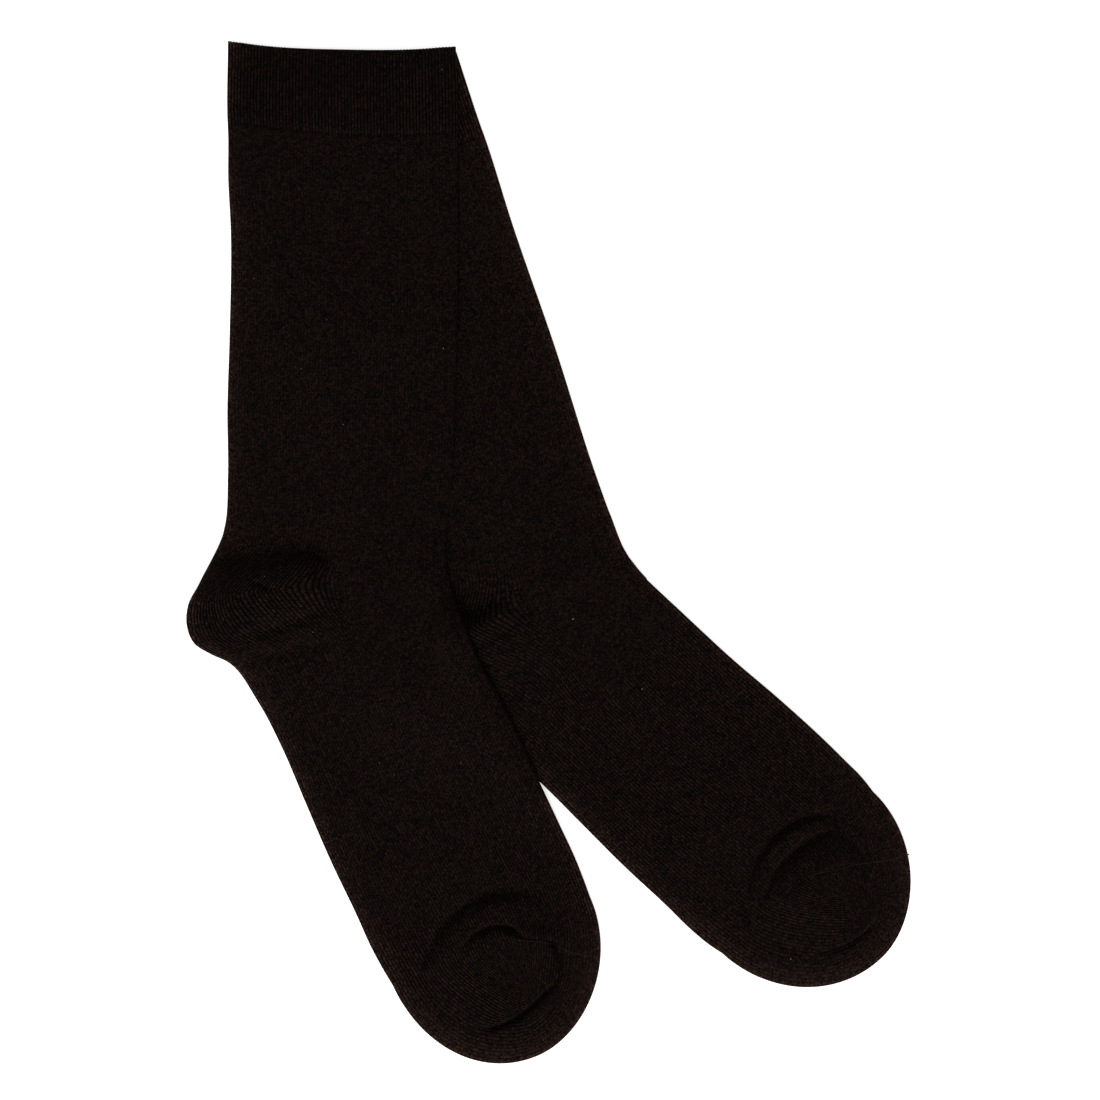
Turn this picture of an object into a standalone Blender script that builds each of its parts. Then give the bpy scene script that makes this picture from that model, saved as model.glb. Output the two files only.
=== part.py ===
"""A pair of fine-knit crew socks laid flat on a surface, the front one over the rear one.

Each sock is one knitted tube. Its wall is a loft of flattened sections: down the leg from the open
cuff, round the heel pocket, along the foot and over the rounded toe. An outer and an inner loft,
one cloth thickness apart, are joined round the mouth, so the sock is open at the cuff and hollow.

Lengths in the tables are millimetres. A sock is described in its own flat frame: the origin is the
end of the heel gore in the middle of the side, the leg runs up +Y and the heel points to -X.
"""
import math
from collections import namedtuple

import bmesh
import bpy
import numpy as np

MM = 0.001

# Cloth
WALL = 1.2                # thickness of the knit
LAYER_GAP = 0.4           # air between the two layers of a sock that lies flat
CLEARANCE = 0.5           # air between the front sock and the rear one under it
FLAT_DEPTH = 2 * WALL + LAYER_GAP

# Drape of the front sock over the rear one
DRAPE_MARGIN = 9.0        # how far past the rear sock's edge the front one stays up
DRAPE_REACH = 16.0        # length of the slope from there down to the surface
DRAPE_SAMPLE = 2.5        # spacing of the heights read from the rear sock

# Mesh
SECTION_STEP = 14.0       # longest stretch between two sections
COLUMNS = 8               # strips of one layer between its two rounded edges
EDGE_ANGLES = (0, 40, 90)             # a folded edge, from its outermost line to its flat
TOE_ANGLES = (14, 28, 41, 53, 63, 72, 80, 86)   # sections of the toe, on its half ellipse

Section = namedtuple("Section", "name back_x back_y front_x front_y depth")
FootSection = namedtuple("FootSection", "along back front depth")
Toe = namedtuple("Toe", "start length back front shift")
Fold = namedtuple("Fold", "name from_x from_y to_x to_y half_width rise")
Sock = namedtuple("Sock", "name place turn bend sections foot toe heel_folds toe_folds")

FRONT = Sock(
    name="front_sock",
    place=(-86.0, -13.1),     # where the gore end lies on the surface
    turn=0.0,                 # of the leg, from straight up
    bend=24.3,                # of the foot, from straight down
    sections=(
        Section("cuff_top", -41.6, 216.0, 48.8, 214.4, 3.6),
        Section("cuff_end", -42.0, 184.4, 49.4, 180.8, 3.6),
        Section("leg_top", -41.4, 180.8, 49.4, 177.2, 2.8),
        Section("leg_upper", -40.8, 145.0, 49.6, 145.0, 2.8),
        Section("leg_middle", -41.6, 91.0, 49.2, 91.0, 2.8),
        Section("leg_lower", -42.0, 43.0, 47.6, 43.0, 2.8),
        Section("ankle", -43.6, 24.0, 45.8, 26.0, 3.0),
        Section("heel_top", -48.4, 9.8, 45.2, 20.0, 3.6),
        Section("heel_upper", -53.8, 0.2, 45.1, 15.0, 4.0),
        Section("heel_back", -58.0, -7.8, 45.3, 10.5, 4.2),
        Section("heel_tip", -58.6, -15.6, 45.8, 6.0, 4.2),
        Section("heel_low", -55.0, -22.6, 46.4, 2.0, 4.0),
        Section("heel_under", -48.4, -27.4, 47.4, -2.0, 3.4),
        Section("heel_end", -42.6, -30.8, 48.6, -6.0, 3.2),
    ),
    foot=(
        FootSection(30, -46.5, 41.8, 3.0),
        FootSection(50, -45.2, 40.9, 2.8),
        FootSection(75, -45.2, 42.4, 2.8),
        FootSection(100, -45.3, 42.6, 2.8),
        FootSection(125, -45.2, 43.1, 2.8),
        FootSection(145, -44.7, 43.2, 3.2),
    ),
    toe=Toe(start=158.0, length=45.2, back=-44.0, front=42.4, shift=-1.6),
    heel_folds=(
        Fold("hollow_over_gore", -46, 3, -4, 9, 5, -0.9),
        Fold("band_under_gore", -44, -13, -6, -4, 8, 3.0),
    ),
    toe_folds=(
        Fold("toe_dome", 172, -8, 184, 2, 15, 2.6),
        Fold("crease_over_toe", 143, -16, 147, 12, 6, 1.4),
    ),
)

REAR = Sock(
    name="rear_sock",
    place=(-8.7, -20.0),
    turn=18.1,
    bend=28.9,
    sections=(
        Section("cuff_top", -49.0, 215.6, 41.2, 217.6, 3.2),
        Section("cuff_end", -49.2, 183.6, 41.4, 184.6, 3.2),
        Section("leg_top", -48.8, 180.0, 41.4, 181.0, 2.8),
        Section("leg_upper", -48.6, 146.0, 41.2, 146.0, 2.8),
        Section("leg_middle", -48.8, 92.0, 41.4, 92.0, 2.8),
        Section("leg_lower", -49.0, 44.0, 41.6, 44.0, 2.8),
        Section("ankle", -50.2, 25.0, 42.0, 27.0, 2.8),
        Section("heel_top", -54.6, 10.8, 42.4, 20.0, 3.0),
        Section("heel_upper", -59.4, 1.2, 42.8, 14.5, 3.0),
        Section("heel_back", -62.4, -6.8, 43.4, 9.5, 3.0),
        Section("heel_tip", -62.8, -14.6, 44.2, 5.0, 3.0),
        Section("heel_low", -59.8, -22.0, 45.2, 1.5, 3.0),
        Section("heel_under", -54.0, -27.0, 46.4, -1.8, 3.0),
        Section("heel_end", -48.4, -30.6, 47.8, -5.0, 2.9),
    ),
    foot=(
        FootSection(30, -50.0, 39.4, 2.8),
        FootSection(50, -49.0, 39.3, 2.8),
        FootSection(75, -49.4, 39.4, 2.8),
        FootSection(100, -50.3, 40.2, 2.8),
        FootSection(125, -50.8, 40.6, 2.8),
        FootSection(145, -50.2, 40.0, 3.2),
    ),
    toe=Toe(start=155.0, length=45.0, back=-49.2, front=38.6, shift=-1.0),
    heel_folds=(
        Fold("band_under_gore", -22, -9, -6, -4, 5, 0.8),
    ),
    toe_folds=(
        Fold("toe_dome", 168, -8, 180, -2, 15, 2.6),
        Fold("crease_over_toe", 139, -18, 143, 10, 6, 1.4),
    ),
)

CLOTH_COLOUR = (0.0060, 0.0042, 0.0038, 1.0)
CLOTH_ROUGHNESS = 0.95


def clear_scene():
    for old in list(bpy.data.objects):
        bpy.data.objects.remove(old, do_unlink=True)


def turned(points, degrees):
    """Points of the plane, turned anticlockwise about the origin."""
    angle = math.radians(degrees)
    turn = np.array([[math.cos(angle), math.sin(angle)], [-math.sin(angle), math.cos(angle)]])
    return np.asarray(points, dtype=float) @ turn


def foot_point(sock, along, across):
    """A point given along and across the foot, in the sock's flat frame."""
    return turned([(across, -along)], sock.bend)[0]


def smooth_rows(rows):
    """Rows of back x, y, front x, y and depth, filled in along smooth edges through them."""
    rows = np.array(rows, dtype=float)
    edges, depths = rows[:, :4], rows[:, 4]
    steps = edges[1:] - edges[:-1]
    lengths = np.maximum(np.hypot(steps[:, 0], steps[:, 1]), np.hypot(steps[:, 2], steps[:, 3]))
    slopes = steps / lengths[:, None]
    tangents = np.empty_like(edges)
    tangents[0] = slopes[0]
    tangents[-1] = slopes[-1]
    before = lengths[:-1, None]
    after = lengths[1:, None]
    tangents[1:-1] = (slopes[:-1] * after + slopes[1:] * before) / (before + after)
    filled = []
    for i, length in enumerate(lengths):
        pieces = max(1, math.ceil(length / SECTION_STEP))
        for t in (j / pieces for j in range(pieces)):
            start = (2 * t**3 - 3 * t**2 + 1) * edges[i] + (t**3 - 2 * t**2 + t) * length * tangents[i]
            end = (3 * t**2 - 2 * t**3) * edges[i + 1] + (t**3 - t**2) * length * tangents[i + 1]
            depth = (1 - t) * depths[i] + t * depths[i + 1]
            filled.append((*(start + end), depth))
    filled.append(tuple(rows[-1]))
    return filled


def sections_of(sock, inset):
    """Every section of one loft: back edge, front edge and depth. The inset is 0 or the wall."""
    rows = [tuple(row[1:]) for row in sock.sections]
    for row in sock.foot:
        back = foot_point(sock, row.along, row.back)
        front = foot_point(sock, row.along, row.front)
        rows.append((*back, *front, row.depth))
    toe = sock.toe
    last_depth = sock.foot[-1].depth
    back = foot_point(sock, toe.start, toe.back)
    front = foot_point(sock, toe.start, toe.front)
    rows.append((*back, *front, last_depth))

    sections = []
    for back_x, back_y, front_x, front_y, depth in smooth_rows(rows):
        back = np.array([back_x, back_y])
        front = np.array([front_x, front_y])
        inward = (front - back) / np.linalg.norm(front - back) * inset
        sections.append((back + inward, front - inward, depth - 2 * inset))

    middle = (toe.back + toe.front) / 2
    radius = (toe.front - toe.back) / 2 - inset
    length = toe.length - inset
    fold = last_depth / 2 - inset
    for angle in TOE_ANGLES:
        reach = math.sin(math.radians(angle))
        half = radius * math.cos(math.radians(angle))
        from_tip = length * (1 - reach)
        depth = 2 * math.sqrt(fold**2 - max(0.0, fold - from_tip) ** 2)
        centre = middle + toe.shift * reach
        along = toe.start + length * reach
        back = foot_point(sock, along, centre - half)
        front = foot_point(sock, along, centre + half)
        sections.append((back, front, depth))
    tip = foot_point(sock, toe.start + length, middle + toe.shift)
    return sections, tip


def ring_profile():
    """One section's outline: fraction along its flat, rounded-edge steps in, and height -1 to 1."""
    steps = [(0.0, math.cos(math.radians(a)), math.sin(math.radians(a))) for a in EDGE_ANGLES]
    flat = [(i / COLUMNS, 0.0, 1.0) for i in range(1, COLUMNS)]
    top = steps + flat + [(1.0, -out, up) for _, out, up in reversed(steps)]
    bottom = [(along, out, -up) for along, out, up in reversed(top[1:-1])]
    return top + bottom


def rise_of(folds, points):
    """Height that the folds add at points of the plane: a soft ridge or trough along each."""
    rise = np.zeros(len(points))
    for fold in folds:
        start = np.array([fold.from_x, fold.from_y], dtype=float)
        run = np.array([fold.to_x, fold.to_y], dtype=float) - start
        along = np.clip((points - start) @ run / (run @ run), 0.0, 1.0)
        off = np.linalg.norm(points - (start + along[:, None] * run), axis=1)
        rise += fold.rise * np.exp(-(off / fold.half_width) ** 2)
    return rise


def folds_of(sock):
    """All the sock's folds, in its flat frame."""
    folds = list(sock.heel_folds)
    for fold in sock.toe_folds:
        start = foot_point(sock, fold.from_x, fold.from_y)
        end = foot_point(sock, fold.to_x, fold.to_y)
        folds.append(fold._replace(from_x=start[0], from_y=start[1], to_x=end[0], to_y=end[1]))
    return folds


def loft(sock, inset, lift):
    """Rings of points in millimetres and the tip point, for the outer or the inner surface."""
    sections, tip = sections_of(sock, inset)
    profile = np.array(ring_profile())
    folds = folds_of(sock)
    full_depth = FLAT_DEPTH - 2 * inset
    rings = []
    for back, front, depth in sections:
        across = front - back
        width = np.linalg.norm(across)
        radius = min(depth / 2, width / 2)
        run = radius + profile[:, 0] * (width - 2 * radius) - profile[:, 1] * radius
        flat = back + run[:, None] * across / width
        upper = np.clip(profile[:, 2], 0.0, 1.0) * min(1.0, depth / full_depth)
        height = inset + depth / 2 * (1 + profile[:, 2]) + upper * rise_of(folds, flat)
        rings.append((flat, height))
    end = turned([tip], sock.turn)[0] + sock.place
    placed = []
    for flat, height in rings:
        flat = turned(flat, sock.turn) + sock.place
        placed.append(np.column_stack([flat, height + lift(flat)]))
    end_height = placed[-1][:, 2].mean()
    return placed, np.array([*end, end_height])


def no_lift(points):
    return np.zeros(len(points))


def lift_over(rings):
    """The drape over a sock: its height plus the clearance, held past its edge, then sloping down."""
    samples = []
    for ring, following in zip(rings[:-1], rings[1:]):
        top, top_after = ring[: len(ring) // 2 + 1], following[: len(ring) // 2 + 1]
        steps = max(1, math.ceil(np.linalg.norm(top - top_after, axis=1).max() / DRAPE_SAMPLE))
        for t in np.arange(steps) / steps:
            line = top * (1 - t) + top_after * t
            for u in (0.0, 0.25, 0.5, 0.75):
                samples.append(line[:-1] * (1 - u) + line[1:] * u)
    samples = np.concatenate(samples)
    heights = samples[:, 2] + CLEARANCE

    def lift(points):
        heights_here = []
        for point in points:
            off = np.linalg.norm(samples[:, :2] - point, axis=1)
            fall = np.clip((off - DRAPE_MARGIN) / DRAPE_REACH, 0.0, 1.0)
            heights_here.append((heights * (1 + np.cos(math.pi * fall)) / 2).max())
        return np.array(heights_here)

    return lift


def add_surface(bm, rings, tip, outward):
    """Faces of one loft, closed at the toe. Returns the ring of its mouth."""
    rows = [[bm.verts.new(point * MM) for point in ring] for ring in rings]
    end = bm.verts.new(tip * MM)
    count = len(rows[0])
    for upper, lower in zip(rows[:-1], rows[1:]):
        for i in range(count):
            j = (i + 1) % count
            corners = (upper[i], upper[j], lower[j], lower[i])
            bm.faces.new(corners if outward else corners[::-1])
    for i in range(count):
        corners = (rows[-1][i], rows[-1][(i + 1) % count], end)
        bm.faces.new(corners if outward else corners[::-1])
    return rows[0]


def build_sock(sock, lift, collection, parent):
    bm = bmesh.new()
    outer_rings, outer_tip = loft(sock, 0.0, lift)
    inner_rings, inner_tip = loft(sock, WALL, lift)
    outer_mouth = add_surface(bm, outer_rings, outer_tip, outward=True)
    inner_mouth = add_surface(bm, inner_rings, inner_tip, outward=False)
    count = len(outer_mouth)
    for i in range(count):
        j = (i + 1) % count
        bm.faces.new((outer_mouth[j], outer_mouth[i], inner_mouth[i], inner_mouth[j]))
    bmesh.ops.recalc_face_normals(bm, faces=bm.faces)
    bmesh.ops.triangulate(bm, faces=bm.faces)
    mesh = bpy.data.meshes.new(sock.name)
    bm.to_mesh(mesh)
    bm.free()
    mesh.shade_smooth()
    mesh.set_sharp_from_angle(angle=math.radians(50))
    mesh.materials.append(cotton_knit(sock.name + "_cotton"))
    obj = bpy.data.objects.new(sock.name, mesh)
    obj.parent = parent
    collection.objects.link(obj)
    return outer_rings


def cotton_knit(name):
    material = bpy.data.materials.new(name)
    material.use_nodes = True
    shader = material.node_tree.nodes["Principled BSDF"]
    shader.inputs["Base Color"].default_value = CLOTH_COLOUR
    shader.inputs["Roughness"].default_value = CLOTH_ROUGHNESS
    shader.inputs["Metallic"].default_value = 0.0
    return material


def main():
    clear_scene()
    collection = bpy.data.collections.new("pair_of_socks")
    bpy.context.scene.collection.children.link(collection)
    pair = bpy.data.objects.new("pair_of_socks", None)
    collection.objects.link(pair)
    rear_rings = build_sock(REAR, no_lift, collection, pair)
    build_sock(FRONT, lift_over(rear_rings), collection, pair)


main()
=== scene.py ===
"""The looks of a pair of near-black cotton crew socks, laid flat, the front one over the rear one.

Each sock is a tube with four columns of the mesh to each wale (column of stitches), shaped course
by course into cuff, leg, heel, foot and toe. The creases are soft troughs and ridges laid over it.

Lengths are millimetres, in the sock's own flat frame: its origin is the end of the heel gore in
the middle of the side, the leg runs up +Y and the heel points to -X. Points of the foot are given
along and across it, from the same origin.
"""
import math
from collections import namedtuple

import bpy
import numpy as np
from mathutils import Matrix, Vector


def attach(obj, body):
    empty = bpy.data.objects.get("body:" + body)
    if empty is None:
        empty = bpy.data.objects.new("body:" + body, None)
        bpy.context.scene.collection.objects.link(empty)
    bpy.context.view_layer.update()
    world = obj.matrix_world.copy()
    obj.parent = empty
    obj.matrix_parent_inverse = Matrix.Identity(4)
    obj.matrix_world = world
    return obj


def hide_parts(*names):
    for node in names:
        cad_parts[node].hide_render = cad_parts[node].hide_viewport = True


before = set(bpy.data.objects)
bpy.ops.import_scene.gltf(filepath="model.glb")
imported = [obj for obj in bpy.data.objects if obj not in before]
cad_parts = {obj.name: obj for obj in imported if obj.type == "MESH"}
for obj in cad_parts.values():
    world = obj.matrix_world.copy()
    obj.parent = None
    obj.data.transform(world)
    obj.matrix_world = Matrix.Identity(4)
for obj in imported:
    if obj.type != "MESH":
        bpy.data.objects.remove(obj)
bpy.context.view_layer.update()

MM = 0.001

# ---- cloth

WALES = 144  # needles of the machine, all round the tube
PER_WALE = 4  # mesh columns to one wale
RING = WALES * PER_WALE
HALF = RING // 2  # columns of one layer, from the back fold to the front one
WALL = 0.7  # thickness of the knit
WELT_WALL = 0.88  # the cuff is knitted double
SCALLOP = 0.3  # how far the grooves lie back at the mouth
LAYERS = 1.6  # the two walls of a sock, pressed flat
EDGE_SHARE = 0.28  # radius of a folded edge, as a share of the sock's depth
THICK_EDGE = 4.6  # a sock that is deeper has no thicker edge
EDGE_RUN = 7.0  # how far in from its folded edges the sock has its whole depth
COURSE = 0.92  # height of one stitch
RIB_PROFILE = (0.0, 0.8, 1.0, 0.8)  # height across one wale, from its groove
OPEN_RIB = 0.30  # depth of the groove between wales that are pulled right open
CALM_RIB = 0.13  # and at the front of the heel, where they lie at rest

TOE_ROWS = 76  # rows of the mesh from the gore to the sole, and again to the instep
INNER_STRIDE = 4  # the inner face has one column to a wale,
INNER_ROWS = 3  # and every third course
OUTER_LIP = (90, 60, 30)  # how far the courses at the mouth have turned over, in degrees
INNER_LIP = (120, 150)
SMOOTH_ANGLE = 62
MERGE = 0.02  # mesh points that lie nearer than this are one

Course = namedtuple("Course", "name back_x back_y front_x front_y depth rib step")
FootCourse = namedtuple("FootCourse", "along back front depth rib step")
Toe = namedtuple("Toe", "start length back front shift gore gore_start roundness")
Gore = namedtuple("Gore", "start end amount rise fade left right")
Fold = namedtuple("Fold", "name points rise left right taper brow", defaults=(0.3, None))
Dome = namedtuple("Dome", "along across half_length half_width rise")
Sock = namedtuple("Sock", "name place turn bend courses foot toe heel_gore toe_gore "
                          "folds toe_folds dome seam")

FRONT = Sock(
    name="front",
    place=(-86.0, -13.1),
    turn=0.0,
    bend=24.3,
    courses=(
        Course("cuff_top", -42.2, 216.9, 49.2, 214.2, 3.6, 0.34, 1.6),
        Course("cuff_end", -42.2, 185.2, 49.8, 181.6, 3.6, 0.34, 0.5),
        Course("leg_top", -42.0, 181.6, 49.8, 178.0, 2.9, 0.13, 2.2),
        Course("leg_high", -42.0, 163.0, 49.9, 163.0, 2.8, 0.11, 2.4),
        Course("leg_upper", -41.0, 141.0, 50.0, 141.0, 2.8, 0.10, 2.4),
        Course("leg_middle", -41.5, 100.0, 49.6, 100.0, 2.8, 0.13, 2.4),
        Course("leg_calf", -42.4, 70.0, 48.6, 70.0, 2.8, 0.13, 2.4),
        Course("leg_lower", -42.2, 43.0, 47.6, 43.0, 2.8, 0.11, 1.8),
        Course("ankle", -43.3, 24.0, 45.8, 26.0, 2.9, 0.12, 1.1),
        Course("heel_top", -47.8, 9.8, 45.2, 20.0, 3.0, 0.24, 0.9),
        Course("heel_upper", -53.0, 0.2, 45.1, 15.0, 3.2, 0.32, 0.9),
        Course("heel_back", -57.9, -7.8, 45.3, 10.5, 3.5, 0.34, 0.9),
        Course("heel_tip", -58.7, -15.8, 45.8, 6.0, 3.8, 0.36, 0.9),
        Course("heel_low", -56.0, -23.0, 46.4, 2.0, 4.1, 0.30, 0.9),
        Course("heel_under", -49.0, -27.7, 47.4, -2.0, 4.2, 0.24, 0.9),
        Course("heel_end", -42.2, -30.8, 48.6, -6.0, 4.3, 0.20, 1.2),
    ),
    foot=(
        FootCourse(30, -46.7, 41.8, 4.4, 0.20, 1.8),
        FootCourse(50, -45.5, 40.9, 4.2, 0.21, 2.4),
        FootCourse(75, -46.0, 42.4, 3.7, 0.21, 2.4),
        FootCourse(100, -46.4, 42.8, 3.2, 0.22, 2.0),
        FootCourse(125, -45.9, 43.1, 3.0, 0.23, 0.9),
        FootCourse(138, -45.9, 43.3, 3.0, 0.25, 0.6),
        FootCourse(148, -45.2, 42.9, 3.2, 0.28, 0.45),
    ),
    toe=Toe(start=156.0, length=49.2, back=-44.3, front=42.3, shift=-4.0, gore=1.7, gore_start=4.0,
            roundness=1.96),
    heel_gore=Gore((0.0, 1.2), (-27.6, -2.2), 7.5, 15.0, 32.0, 15.0, 17.0),
    toe_gore=Gore((144.0, 1.7), (176.0, 1.7), 8.0, 22.0, 14.0, 24.0, 28.0),
    folds=(
        Fold("welt_groove", ((-43, 184.8), (-20, 181.8), (8, 179.5), (30, 179.4), (50, 180.6)),
             -0.8, 0.8, 0.9, 0.05),
        Fold("pocket", ((-60, -22), (-50, -17), (-43, -13), (-34, -8), (-25, -5), (-15, -4), (-8, -2.4),
                        (2, 1.5)), 2.6, 14.0, 22.0, 0.16, (28.0, 13.0)),
        Fold("pocket_wall", ((-54, -4), (-43, -1.6), (-34, -0.4), (-25, 1.6), (-15, 4.8), (-8, 6.6),
                             (1, 6.4)), 3.0, 8.0, 22.0, 0.2, (11.0, 6.4)),
        Fold("pocket_base", ((-56, 7), (-46, 11.0), (-34, 12.2), (-20, 12.8), (-8, 12.4), (3, 10)),
             -1.2, 9.0, 3.0, 0.2),
        Fold("gore_crease", ((-32, 1.0), (-26.8, -0.9), (-21.5, -3.0)), -1.2, 1.6, 0.8),
        Fold("band_foot", ((-42, -22.8), (-30, -19), (-25, -17.4), (-17, -14.8), (-8.5, -11.6),
                           (-2.6, -6.5), (2, 0)), -1.3, 3.0, 3.0, 0.25),
        Fold("sole_crease", ((-43, -33.8), (-34, -30.8), (-24, -27.6), (-12, -25.4), (0, -23.6)),
             -0.9, 3.0, 2.2, 0.35),
    ),
    toe_folds=(
        Fold("fore_roll", ((161, -30), (154, -23), (149.0, -15), (145.4, -6), (144.6, 1), (145.6, 9),
                           (148.4, 17), (152, 24)), 1.6, 4.0, 16.0, (0.12, 0.3), (6.5, 6.0)),
        Fold("outer_crease", ((156, -29), (149, -24.5), (142.6, -17.5), (139.2, -8.1), (138.2, 0),
                              (139.2, 8.6), (141.4, 15), (143.8, 20.5), (147, 26)), -1.4, 2.8, 1.8,
             (0.12, 0.35)),
        Fold("dome_brow", ((162, -14), (157.4, -9), (154.4, -2.6), (155.4, 3), (158.4, 8), (163, 11)),
             0.9, 4.0, 9.0, 0.25, (3.8, 3.8)),
        Fold("inner_crease", ((154, -12), (151.6, -9.4), (150.2, -4.9), (150.1, 0), (151.6, 5.1),
                              (154.2, 8.8), (156.8, 10.2), (160, 11.6)), -2.0, 1.1, 1.2, (0.3, 0.2)),
        Fold("seam_brow", ((158.4, 6), (158.6, 11.6), (161.2, 16.4), (165.2, 20.8), (171, 24)),
             1.0, 8.0, 12.0, (0.2, 0.4), (7.5, 4.0)),
        Fold("seam_line", ((157, 9.6), (159.9, 12.4), (162.6, 17.0), (166.2, 21.6), (170.6, 25.8)),
             -0.4, 0.6, 0.6, 0.2),
        Fold("ring_side", ((163.5, 18.5), (166, 21.1), (168.6, 22.2), (172, 21.7), (175.3, 20.3),
                           (178.3, 18.4), (181.3, 15.4)), -2.0, 1.2, 1.2, 0.2),
        Fold("tip_crease", ((177.2, 18.2), (181, 14.9), (183.6, 9), (185.4, 3.4), (187, -1.3),
                            (187.7, -7.4), (187.5, -13.1), (185.8, -18.1), (184, -22.1)), -2.6, 1.3, 0.9,
             (0.2, 0.4)),
        Fold("side_trough", ((164, -27.5), (173, -29), (180, -27)), -0.4, 2.4, 2.4),
    ),
    dome=Dome(167, -1, 35, 35, 1.8),
    seam=((158.8, 9.0), (160.8, 12.1), (163.6, 17.1), (167.0, 21.3), (172.3, 26.0), (176.4, 31.5),
          (180.5, 37.5)),
)

REAR = Sock(
    name="rear",
    place=(-8.7, -20.0),
    turn=18.1,
    bend=28.9,
    courses=(
        Course("cuff_top", -49.0, 215.6, 41.7, 217.6, 3.2, 0.34, 1.6),
        Course("cuff_end", -49.2, 184.6, 41.8, 185.6, 3.2, 0.34, 0.5),
        Course("leg_top", -48.8, 181.0, 41.9, 182.0, 2.8, 0.16, 2.2),
        Course("leg_upper", -48.6, 146.0, 41.6, 146.0, 2.8, 0.14, 2.4),
        Course("leg_middle", -48.8, 92.0, 42.5, 92.0, 2.8, 0.14, 2.4),
        Course("leg_lower", -49.0, 44.0, 42.1, 44.0, 2.8, 0.14, 1.8),
        Course("ankle", -50.2, 25.0, 42.5, 27.0, 2.8, 0.15, 1.1),
        Course("heel_top", -54.6, 10.8, 42.9, 20.0, 2.9, 0.24, 0.9),
        Course("heel_upper", -59.4, 1.2, 43.1, 14.5, 3.0, 0.32, 0.9),
        Course("heel_back", -62.4, -6.8, 43.5, 9.5, 3.2, 0.34, 0.9),
        Course("heel_tip", -62.8, -14.6, 44.4, 5.0, 3.4, 0.32, 0.9),
        Course("heel_low", -59.8, -22.0, 45.6, 1.5, 3.6, 0.26, 0.9),
        Course("heel_under", -54.0, -27.0, 46.8, -1.8, 3.7, 0.24, 0.9),
        Course("heel_end", -48.4, -30.6, 48.2, -5.0, 3.8, 0.22, 1.2),
    ),
    foot=(
        FootCourse(30, -50.0, 39.4, 3.8, 0.25, 1.8),
        FootCourse(50, -49.1, 39.4, 3.6, 0.25, 2.4),
        FootCourse(75, -49.9, 39.5, 3.3, 0.25, 2.4),
        FootCourse(100, -50.8, 40.6, 3.0, 0.25, 2.0),
        FootCourse(125, -50.8, 40.9, 3.0, 0.24, 0.9),
        FootCourse(136, -51.1, 40.6, 3.1, 0.23, 0.5),
        FootCourse(146, -50.6, 40.2, 3.2, 0.22, 0.6),
    ),
    toe=Toe(start=153.0, length=47.8, back=-49.5, front=39.1, shift=-3.6, gore=-1.5, gore_start=4.0,
            roundness=1.93),
    heel_gore=Gore((0.0, -1.0), (-28.0, -2.6), 7.0, 15.0, 32.0, 14.0, 16.0),
    toe_gore=Gore((142.0, -1.5), (174.0, -1.5), 6.0, 22.0, 14.0, 24.0, 28.0),
    folds=(
        Fold("welt_groove", ((-50, 184.0), (-20, 182.0), (10, 181.6), (30, 182.4), (42, 183.4)),
             -0.7, 0.8, 0.9, 0.05),
        Fold("ankle_ridge", ((-32, 21), (-24, 20), (-16, 17.6), (-8, 16)), 1.2, 8.0, 6.0, (0.1, 0.5)),
        Fold("wave", ((-28.6, -5.0), (-24, -4.6), (-18, -3.8), (-11, -2.2), (-4, 0.4), (3, 3)),
             2.2, 12.0, 22.0, (0.12, 0.75), (7.5, 10.0)),
        Fold("wave_crest", ((-28.6, -4.4), (-24, -4.0), (-18, -3.0), (-11, -1.0), (-4, 1.6), (3, 4)),
             2.6, 4.0, 13.0, (0.12, 0.75), (3.8, 5.5)),
        Fold("wave_base", ((-29, 1.6), (-24, 0.9), (-18, 1.6), (-10, 3.6), (-4, 6)), -1.4, 5.0, 2.2,
             (0.05, 0.7)),
        Fold("band_foot", ((-30, -12.2), (-24, -10.9), (-16, -9.6), (-9, -7.8), (-3, -4.6), (3, 0)),
             -1.0, 2.4, 1.2, 0.2),
        Fold("ankle_fold", ((4, 1), (14, 1.4), (24, 3.6), (38, 10.6)), 0.8, 8.0, 3.4),
    ),
    toe_folds=(
        Fold("fore_roll", ((158, -34), (151, -28), (144.6, -20), (140.6, -12), (139.6, -2), (141, 6),
                           (145, 14), (151, 20)), 1.1, 4.0, 5.0, (0.1, 0.25), (3.4, 3.4)),
        Fold("outer_crease", ((155, -35), (148, -30), (143.2, -24.5), (138.6, -16), (136.6, -7),
                              (136.9, 2), (139.7, 10.4), (144.4, 18.6), (149, 24)), -1.8, 1.9, 1.2,
             (0.1, 0.25)),
        Fold("dome_brow", ((164, -24), (159, -15), (156.6, -5), (157, 3), (160, 10), (165, 17)),
             2.6, 4.0, 16.0, 0.25, (12.0, 12.0)),
        Fold("inner_crease", ((154, -27), (150.3, -22.8), (147.2, -16), (145.3, -7.1), (145.8, -1.2),
                              (146.3, 4.7), (147.9, 9.4), (150.1, 14.8), (154.9, 18.4)), -1.9, 1.2, 2.2,
             (0.35, 0.3)),
        Fold("ring_side", ((152, 16.4), (155.4, 18.6), (161.1, 18.5), (166, 17.1), (170, 14)),
             -0.8, 1.7, 2.4),
        Fold("seam_line", ((157, -4), (160.6, 4.2), (165.4, 10.8), (171, 18)), -0.5, 0.6, 0.6),
        Fold("tip_crease", ((176, -26), (181.4, -21.3), (186.1, -13.5), (187.9, -6.4), (188.5, 0.7),
                            (186.4, 7)), -1.3, 1.0, 1.4, (0.4, 0.35)),
        Fold("side_trough", ((159.7, -30.9), (166.2, -30.9), (172.6, -28.7), (178, -24.8)),
             -0.7, 2.0, 1.8),
    ),
    dome=Dome(166, -5, 35, 34, 2.2),
    seam=((156.4, -2.0), (163.3, 7.4), (167.5, 13.4), (174.0, 21.2), (178.5, 27.5), (181.5, 32.0)),
)

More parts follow.
